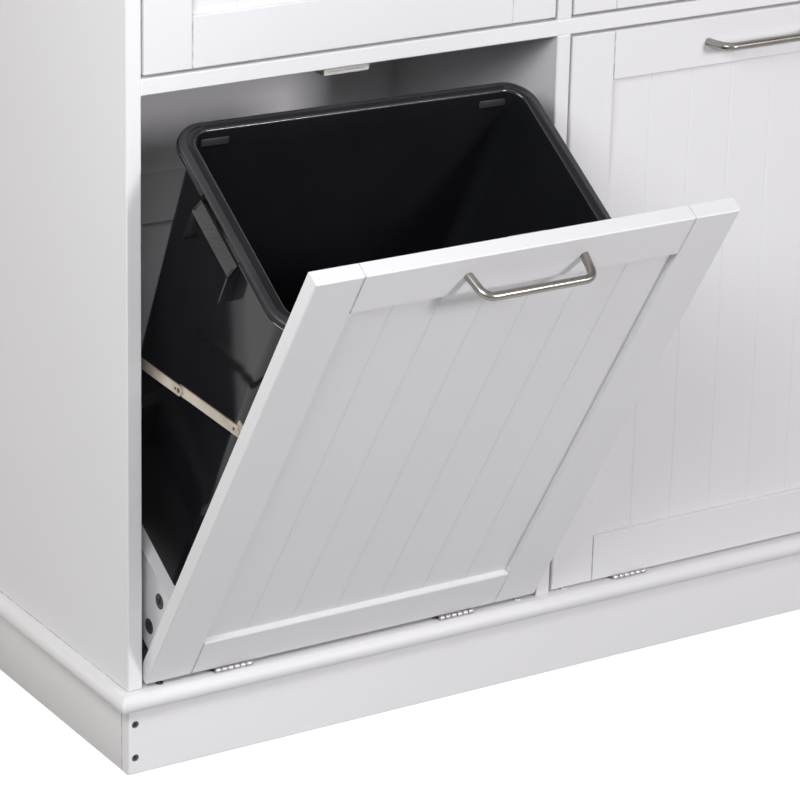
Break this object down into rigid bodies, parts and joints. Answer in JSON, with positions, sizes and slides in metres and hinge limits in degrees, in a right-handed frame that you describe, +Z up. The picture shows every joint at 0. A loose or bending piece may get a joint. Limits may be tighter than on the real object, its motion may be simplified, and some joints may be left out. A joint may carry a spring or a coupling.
{
  "type": "tilt-out bin cabinet",
  "caption": "White free-standing kitchen cabinet with tilt-out panelled doors carrying loose bins below panelled drawers, on a plinth.",
  "frame": {"origin": "centre of the plinth's footprint on the floor, on the underside of the plinth brace", "axes": "+X to the cabinet's right along its width, -Y out of its front, +Z up"},
  "size_m": [0.943, 0.5932, 0.89],
  "materials": {
    "white_paint": "satin white paint",
    "black_plastic": "satin moulded",
    "handle_nickel": "brushed nickel",
    "hinge_nickel": "nickel plated",
    "zinc_steel": "zinc plated",
    "cam_grey": "dark zinc casting",
    "dark_screws": "black oxide",
    "white_plastic": "moulded"
  },
  "bodies": {
    "cabinet": {"base_board": "white_paint", "top_board": "white_paint", "left_side_panel": "white_paint", "right_side_panel": "white_paint", "mid_shelf": "white_paint", "lower_divider": "white_paint", "upper_divider": "white_paint", "back_panel": "white_paint", "back_rails": "white_paint", "front_plinth": "white_paint", "rear_plinth": "white_paint", "plinth_ends": "white_paint", "plinth_brace": "white_paint", "assembly_screws": "dark_screws", "magnetic_catches": "white_plastic", "hinge_base_leaves": "hinge_nickel", "hinge_pins": "hinge_nickel", "stay_wall_plates": "zinc_steel", "drawer_rails": "zinc_steel"},
    "left_door": {"left_door_stiles": "white_paint", "left_door_rails": "white_paint", "left_door_panel": "white_paint", "left_door_handle": "handle_nickel", "left_strike_plate": "zinc_steel", "left_hinge_leaves": "hinge_nickel", "left_tray_sides": "white_paint", "left_tray_floor": "white_paint", "left_tray_back": "white_paint", "left_tray_cams": "cam_grey", "left_stay_door_plates": "zinc_steel"},
    "left_bin": {"left_bin": "black_plastic"},
    "left_rear_arms": {"left_stay_rear_arms": "zinc_steel"},
    "left_front_arms": {"left_stay_front_arms": "zinc_steel"},
    "left_drawer": {"left_drawer_front_frame": "white_paint", "left_drawer_front_panel": "white_paint", "left_drawer_handle": "handle_nickel", "left_drawer_box": "white_paint", "left_drawer_bottom": "white_paint", "left_drawer_runners": "zinc_steel"},
    "right_door": {"right_door_stiles": "white_paint", "right_door_rails": "white_paint", "right_door_panel": "white_paint", "right_door_handle": "handle_nickel", "right_strike_plate": "zinc_steel", "right_hinge_leaves": "hinge_nickel", "right_tray_sides": "white_paint", "right_tray_floor": "white_paint", "right_tray_back": "white_paint", "right_tray_cams": "cam_grey", "right_stay_door_plates": "zinc_steel"},
    "right_bin": {"right_bin": "black_plastic"},
    "right_rear_arms": {"right_stay_rear_arms": "zinc_steel"},
    "right_front_arms": {"right_stay_front_arms": "zinc_steel"},
    "right_drawer": {"right_drawer_front_frame": "white_paint", "right_drawer_front_panel": "white_paint", "right_drawer_handle": "handle_nickel", "right_drawer_box": "white_paint", "right_drawer_bottom": "white_paint", "right_drawer_runners": "zinc_steel"}
  },
  "joints": [
    {"name": "left_door_tilt", "type": "hinge", "parent": "cabinet", "child": "left_door", "pos_m": [-0.2255, -0.1434, 0.0875], "axis": [1, 0, 0], "range_deg": [-31.6, 0]},
    {"name": "left_bin_lift", "type": "slide", "parent": "left_door", "child": "left_bin", "axis": [0, -0.524, 0.8517], "range_m": [0, 0.02]},
    {"name": "left_rear_arm_turn", "type": "hinge", "parent": "cabinet", "child": "left_rear_arms", "pos_m": [-0.2255, -0.089, 0.398], "axis": [1, 0, 0], "range_deg": [-127.3, 0.05]},
    {"name": "left_front_arm_turn", "type": "hinge", "parent": "left_door", "child": "left_front_arms", "pos_m": [-0.2255, -0.29553, 0.38899], "axis": [1, 0, 0], "range_deg": [-0.05, 63.91]},
    {"name": "left_drawer_slide", "type": "slide", "parent": "cabinet", "child": "left_drawer", "axis": [0, -1, 0], "range_m": [0, 0.19]},
    {"name": "right_door_tilt", "type": "hinge", "parent": "cabinet", "child": "right_door", "pos_m": [0.2255, -0.1434, 0.0875], "axis": [1, 0, 0], "range_deg": [0, 31.6]},
    {"name": "right_bin_lift", "type": "slide", "parent": "right_door", "child": "right_bin", "axis": [0, 0, 1], "range_m": [0, 0.02]},
    {"name": "right_rear_arm_turn", "type": "hinge", "parent": "cabinet", "child": "right_rear_arms", "pos_m": [0.2255, -0.089, 0.398], "axis": [1, 0, 0], "range_deg": [-0.05, 127.3]},
    {"name": "right_front_arm_turn", "type": "hinge", "parent": "right_door", "child": "right_front_arms", "pos_m": [0.2255, -0.115, 0.424], "axis": [1, 0, 0], "range_deg": [-63.91, 0.05]},
    {"name": "right_drawer_slide", "type": "slide", "parent": "cabinet", "child": "right_drawer", "axis": [0, -1, 0], "range_m": [0, 0.19]}
  ],
  "couplings": [
    {"joint": "left_rear_arm_turn", "follows": "left_door_tilt", "ratio": 4.027},
    {"joint": "left_front_arm_turn", "follows": "left_door_tilt", "ratio": -2.0208},
    {"joint": "right_rear_arm_turn", "follows": "right_door_tilt", "ratio": 4.027},
    {"joint": "right_front_arm_turn", "follows": "right_door_tilt", "ratio": -2.0208}
  ]
}
